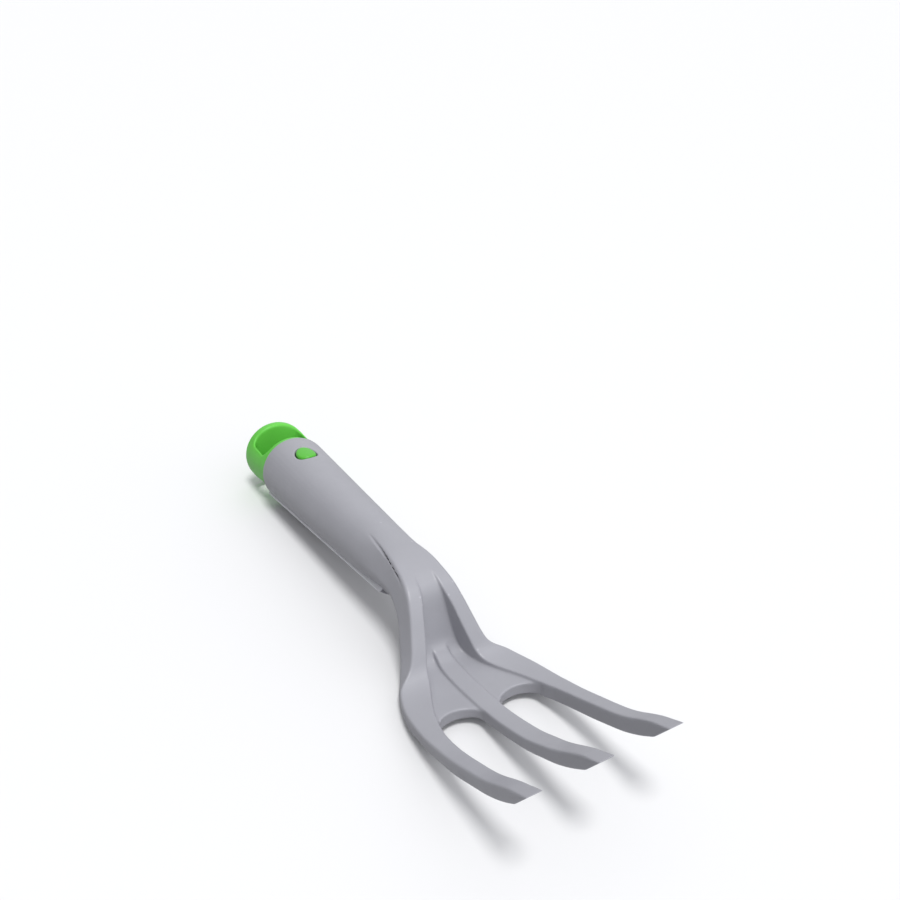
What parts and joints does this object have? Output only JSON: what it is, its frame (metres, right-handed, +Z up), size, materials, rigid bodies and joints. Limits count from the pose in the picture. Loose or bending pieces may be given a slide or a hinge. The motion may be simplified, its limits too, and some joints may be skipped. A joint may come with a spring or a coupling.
{
  "type": "hand cultivator",
  "caption": "Moulded plastic garden hand cultivator: round tapering grip, S-bent neck with two side rails, forward-curving chisel-tipped tines, hanging end cap with a slot and a press latch.",
  "frame": {"origin": "centre of the footprint on the table: midway between the cap's outer end and the tine tips, on the mirror plane, at the height of the table", "axes": "+X from the hanging slot towards the tine tips, +Z up with the tool lying on its handle end and the belly of the fork, the mirror plane is y = 0"},
  "size_m": [0.2888, 0.0638, 0.0415],
  "materials": {
    "grey_plastic": "satin moulded",
    "grey_cover_plastic": "satin moulded",
    "green_plastic": "satin moulded",
    "green_button_plastic": "semi-gloss moulded"
  },
  "bodies": {
    "cultivator": {"fork_body": "grey_plastic", "handle_underside_cover": "grey_cover_plastic", "end_cap": "green_plastic"},
    "latch": {"latch_tongue": "green_button_plastic"}
  },
  "joints": [
    {"name": "latch_press", "type": "hinge", "parent": "cultivator", "child": "latch", "pos_m": [-0.11178, 0, 0.03071], "axis": [0, 1, 0], "range_deg": [0, 8], "stiffness_Nm_per_rad": 0.6}
  ]
}
